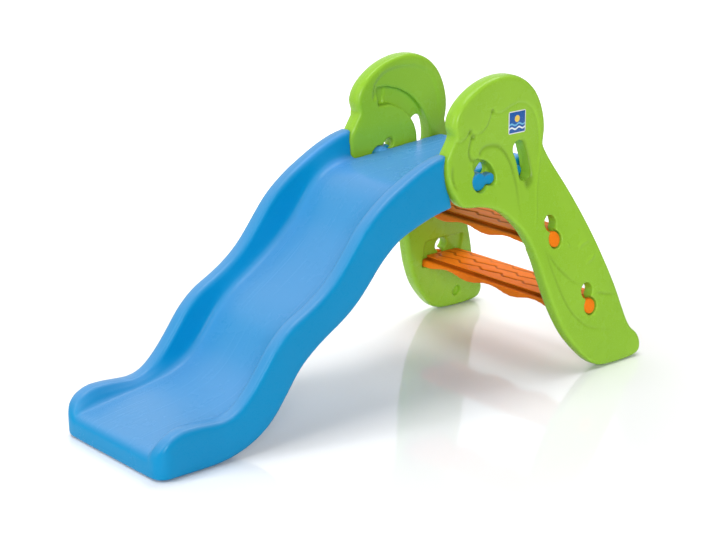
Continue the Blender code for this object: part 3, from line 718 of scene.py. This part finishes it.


# %% [markdown]
# ## Moulded polyethylene
# The plastic is coloured right through and has a satin skin. Seen close, its tone drifts a little,
# the mould's blasted surface gives it a fine grain, hands and shoes leave duller patches, and the
# edges that bulge are scuffed paler. One recipe makes all three colours. Each colour sets its own
# roughness, sheen, wear, how much painted shade darkens what is engraved, and the scale of its
# drift, and it adds a touch that the others don't have.

# %% The recipe for satin plastic
def satin_plastic(name, tones, roughness, drift_scale, wear, sheen, hollow_shade_and_grime, touch):
    """Blown polyethylene in three tones: its own, a deeper one, and a paler one for scuffs."""
    colour, deeper, scuffed = tones
    material = bpy.data.materials.new(name)
    material.use_nodes = True
    tree = material.node_tree
    shader = tree.nodes["Principled BSDF"]
    bench = Shade(tree)
    place = bench.places()
    tone_drift = bench.noise(place, drift_scale, detail=3.0).above(0.34, 0.66)
    patches = bench.noise(place, 11.0, detail=5.0, roughness=0.6).above(0.50, 0.72)
    fine = bench.noise(place, 420.0)
    grain = bench.noise(place, 1500.0, detail=1.0)
    slow_dents = bench.noise(place, 16.0, detail=1.0)
    nicks = bench.noise(place, 90.0, detail=4.0, roughness=0.7).above(0.48, 0.64)
    scuff = bench.remembered("bulge").above(0.25, 0.95) * nicks * wear
    drawn_out = bench.stretched(place, 9.0, 260.0, 60.0)
    streaks = bench.noise(drawn_out, 1.0, detail=3.0, roughness=0.6).above(0.66, 0.80)
    tint = tone_drift.between(rgb(*colour), rgb(*deeper))
    # Painted shade: what is engraved is darkened towards a deep copy of the colour.
    shaded_hollow_colour = rgb(*[0.35 * part for part in deeper])
    tint = (bench.remembered("engraved") * hollow_shade_and_grime).between(tint, shaded_hollow_colour)
    worn = scuff + patches * 0.05 * wear + streaks * 0.10 * wear
    tint = worn.between(tint, rgb(*scuffed))
    dull = patches * 0.07 + scuff * 0.18 + streaks * 0.05 + fine * 0.04 + (roughness - 0.04)
    height = fine * 0.6 + grain * 0.4 + slow_dents * 2.2 - scuff * 0.5
    tint, dull, height = touch(bench, place, tint, dull, height)
    bump_ins = (("Height", height), ("Strength", 0.45), ("Distance", 0.00035))
    bump = bench.node("ShaderNodeBump", ins=bump_ins)
    tree.links.new(tint.socket, shader.inputs["Base Color"])
    tree.links.new(dull.socket, shader.inputs["Roughness"])
    tree.links.new(bump.socket, shader.inputs["Normal"])
    shader.inputs["Specular IOR Level"].default_value = sheen
    return material


def dress(piece, material):
    """Give the piece this material and no other."""
    piece.data.materials.clear()
    piece.data.materials.append(material)


# %% [markdown]
# The chute is sky blue. Faces that look up are made paler with painted light from above, and the
# platform paler and bluer still, as painted light against the green that the panels throw on it.
# Sliding polishes the bed and leaves long pale streaks down the slope, between the walls only. So
# each point of the chute first remembers how squarely it faces the sky.

# %% Blue plastic for the chute
remember(chute, "skyward", ease(0.15, 0.95, normals_of(chute)[:, 2]))


def sliding_marks_and_top_light(bench, place, tint, dull, height):
    """Upper faces painted paler as light from above, the platform most and bluest, and faint streaks
    down the bed.
    """
    away = bench.part(place, 1).absolute()
    middle = 1.0 - away.above(0.07, 0.155)
    facing_up = bench.remembered("skyward")
    # Painted light: faces that look up are made paler, as if lit from above.
    tint = (facing_up * 0.90).between(tint, rgb(0.085, 0.285, 0.570))
    high = bench.part(place, 2).above(0.545, 0.590)
    platform = high * (1.0 - away.above(0.160, 0.185))
    # Painted light: the platform is made paler and bluer, against the green light bounced from the
    # panels.
    tint = (facing_up * platform * 0.85).between(tint, rgb(0.080, 0.335, 0.820))
    down_the_slope = bench.stretched(place, 2.2, 150.0, 2.2)
    lines = bench.noise(down_the_slope, 1.0, detail=4.0, roughness=0.65).above(0.50, 0.75)
    marks = lines * middle * facing_up
    tint = (marks * 0.12).between(tint, rgb(0.09, 0.38, 0.70))
    return tint, dull + marks * 0.05 - middle * 0.03, height - marks * 0.25


blue = satin_plastic(
    "satin_blue", ((0.0006, 0.285, 0.590), (0.0005, 0.268, 0.560), (0.08, 0.42, 0.76)),
    roughness=0.30, drift_scale=3.0, wear=0.5, sheen=0.20, hollow_shade_and_grime=0.0, touch=sliding_marks_and_top_light,
)
dress(chute, blue)
print("chute:", blue.name)


# %% [markdown]
# The panels are leaf green. The two halves of a mould meet in the middle of the thickness and leave
# a faint raised seam round the edge. The hollows of the engraved bark are darkened with painted
# shade.

# %% Green plastic for the panels
def mould_seam(bench, place, tint, dull, height):
    """A hair-thin line round the middle of the panel's edge."""
    off_seam = (bench.remembered("through") - 0.5).absolute()
    seam = 1.0 - off_seam.above(0.008, 0.028)
    return (seam * 0.30).between(tint, rgb(0.235, 0.50, 0.032)), dull, height + seam * 1.4


green = satin_plastic(
    "satin_green", ((0.312, 0.585, 0.038), (0.290, 0.556, 0.034), (0.48, 0.70, 0.14)),
    roughness=0.29, drift_scale=4.0, wear=0.5, sheen=0.30, hollow_shade_and_grime=0.55, touch=mould_seam,
)
for panel in panels.values():
    dress(panel, green)
print("panels:", green.name)


# %% [markdown]
# The steps are orange, and their grain runs along the board as on sawn wood.

# %% Orange plastic for the steps
def board_grain(bench, place, tint, dull, height):
    """Fine lines along the board."""
    along_the_board = bench.stretched(place, 190.0, 9.0, 190.0)
    lines = bench.noise(along_the_board, 1.0, detail=3.0, roughness=0.6)
    figure = lines.above(0.42, 0.60)
    tint = (figure * 0.25).between(tint, rgb(0.84, 0.175, 0.006))
    return tint, dull + figure * 0.04, height + lines * 2.6


orange = satin_plastic(
    "satin_orange", ((0.960, 0.235, 0.008), (0.920, 0.212, 0.007), (0.97, 0.38, 0.07)),
    roughness=0.46, drift_scale=9.0, wear=0.6, sheen=0.10, hollow_shade_and_grime=0.85, touch=board_grain,
)
for step in steps.values():
    dress(step, orange)
print("steps:", orange.name)

# %% [markdown]
# ## The label's print
# The print is worked out from the place on the label: a white border, a blue ground, a yellow disc
# and two waves. Vinyl is glossier than the plastic under it.

# %% Print the label
vinyl = bpy.data.materials.new("printed_vinyl")
vinyl.use_nodes = True
press = Shade(vinyl.node_tree)
spot = press.places()
across = press.part(spot, 0) - along(LABEL_MIDDLE[0])
up = press.part(spot, 2) - LABEL_MIDDLE[1]
side_gap = across.absolute() * (1.0 / LABEL_SIZE[0])
top_gap = up.absolute() * (1.0 / LABEL_SIZE[1])
border = press.sums("MAXIMUM", side_gap, top_gap).above(0.455, 0.462)
lift = up - 0.009
disc = 1.0 - (across * across + lift * lift).above(0.0088**2, 0.0094**2)
ground = disc.between(rgb(0.010, 0.105, 0.400), rgb(0.90, 0.62, 0.10))
wave = press.sums("SINE", across * 230.0) * 0.0024
for level, paint in ((-0.006, rgb(0.16, 0.50, 0.78)), (-0.016, rgb(0.80, 0.88, 0.92))):
    gap = (up - wave) - level
    band = 1.0 - gap.absolute().above(0.0021, 0.0026)
    ground = band.between(ground, paint)
print_colour = border.between(ground, rgb(0.86, 0.87, 0.86))
dust = press.noise(spot, 300.0, detail=3.0)
film = vinyl.node_tree.nodes["Principled BSDF"]
dust_ins = (("Height", dust), ("Strength", 0.3), ("Distance", 0.0001))
film_bump = press.node("ShaderNodeBump", ins=dust_ins)
vinyl.node_tree.links.new(print_colour.socket, film.inputs["Base Color"])
vinyl.node_tree.links.new((dust * 0.12 + 0.20).socket, film.inputs["Roughness"])
vinyl.node_tree.links.new(film_bump.socket, film.inputs["Normal"])
dress(label, vinyl)
print("label:", vinyl.name)

# %% [markdown]
# ## Floor
# The slide stands on a plain white floor with a polish that mirrors its feet faintly. For the
# camera alone the white is a little stronger, and it glows further out, so the floor reads as white
# without throwing more light on the slide. Near the slide it keeps the soft shadow.

# %% White floor
FLOOR_RADIUS = 40.0
FLOOR_TOP = -0.0006
bpy.ops.object.select_all(action="DESELECT")
bpy.ops.mesh.primitive_circle_add(
    vertices=96, radius=FLOOR_RADIUS, fill_type="NGON", location=(0, 0, FLOOR_TOP)
)
floor = bpy.context.object
floor.name = "white_floor"
white = bpy.data.materials.new("white_floor")
white.use_nodes = True
stand = Shade(white.node_tree)
floor_shader = white.node_tree.nodes["Principled BSDF"]
floor_shader.inputs["Roughness"].default_value = 0.08
floor_shader.inputs["Specular IOR Level"].default_value = 0.50
for_camera = stand.seen_by_camera()
paint = for_camera.between(rgb(0.80, 0.80, 0.80), rgb(0.96, 0.96, 0.96))
white.node_tree.links.new(paint.socket, floor_shader.inputs["Base Color"])
floor_ins = ((0, stand.places()),)
from_slide = stand.node("ShaderNodeVectorMath", out=1, ins=floor_ins, operation="LENGTH")
glow = for_camera * from_slide.above(0.72, 1.70) * 0.42
floor_shader.inputs["Emission Color"].default_value = rgb(1.0, 1.0, 1.0)
white.node_tree.links.new(glow.socket, floor_shader.inputs["Emission Strength"])
floor.data.materials.append(white)
print("floor radius", FLOOR_RADIUS)

# %% [markdown]
# ## Studio light
# The room is pale. One soft key hangs above the slide and a second stands high behind the ladder,
# so the shadow lies under the chute and the treads are bright. Even light from the camera's side
# fills the rest, a wide panel behind gives the bed its sheen and the floor its polish, and a tall
# strip draws bright lines down the rounded edges.

# %% Room, key and panels
world = bpy.data.worlds.new("pale_room")
bpy.context.scene.world = world
world.use_nodes = True
room = Shade(world.node_tree)
for_camera = room.seen_by_camera()
background = world.node_tree.nodes["Background"]
background.inputs["Color"].default_value = rgb(1.0, 1.0, 1.0)
world.node_tree.links.new((for_camera * 0.74 + 0.26).socket, background.inputs["Strength"])


def lamp_with(data, travels):
    """A lamp with this light in it, turned so that its light travels this way."""
    lamp = bpy.data.objects.new(data.name, data)
    bpy.context.collection.objects.link(lamp)
    lamp.rotation_euler = Vector(travels).to_track_quat("-Z", "Y").to_euler()
    return lamp


def far_light(name, travels, spread, strength):
    """Even light from far away, with soft shadows."""
    data = bpy.data.lights.new(name, "SUN")
    data.energy = strength
    data.angle = math.radians(spread)
    lamp_with(data, travels)


def soft_panel(name, place, aim, size, power):
    """A soft rectangular light at a place, turned towards a point, and itself unseen."""
    data = bpy.data.lights.new(name, "AREA")
    data.shape = "RECTANGLE"
    data.size, data.size_y = size
    data.energy = power
    lamp = lamp_with(data, Vector(aim) - Vector(place))
    lamp.location = place
    lamp.visible_camera = False


far_light("key", travels=(0.10, -0.10, -0.99), spread=30, strength=1.10)
far_light("second_key", travels=(-0.46, -0.14, -0.87), spread=30, strength=0.95)
far_light("fill", travels=(0.60, 0.74, -0.32), spread=26, strength=1.80)
soft_panel("rear_panel", place=(0.9, 3.2, 2.1), aim=(0.4, 0.0, 0.5), size=(6.6, 3.8), power=66)
soft_panel("left_strip", place=(-3.2, 0.9, 1.9), aim=(0.2, 0.0, 0.5), size=(0.5, 2.4), power=30)

# %% [markdown]
# ## Camera
# The camera stands in front of the toe, to the left of a climbing child, and looks down by 17.5
# degrees through a long lens.

# %% Camera
view = bpy.data.cameras.new("camera")
view.sensor_width = 36
view.sensor_fit = "HORIZONTAL"
view.lens = 94.48
camera = bpy.data.objects.new("camera", view)
bpy.context.collection.objects.link(camera)
camera.location = (-3.04075, -3.58734, 1.80540)
camera.rotation_euler = (math.radians(72.48), 0.0, math.radians(-40.47))
bpy.context.scene.camera = camera
bpy.context.scene.view_settings.view_transform = "Standard"
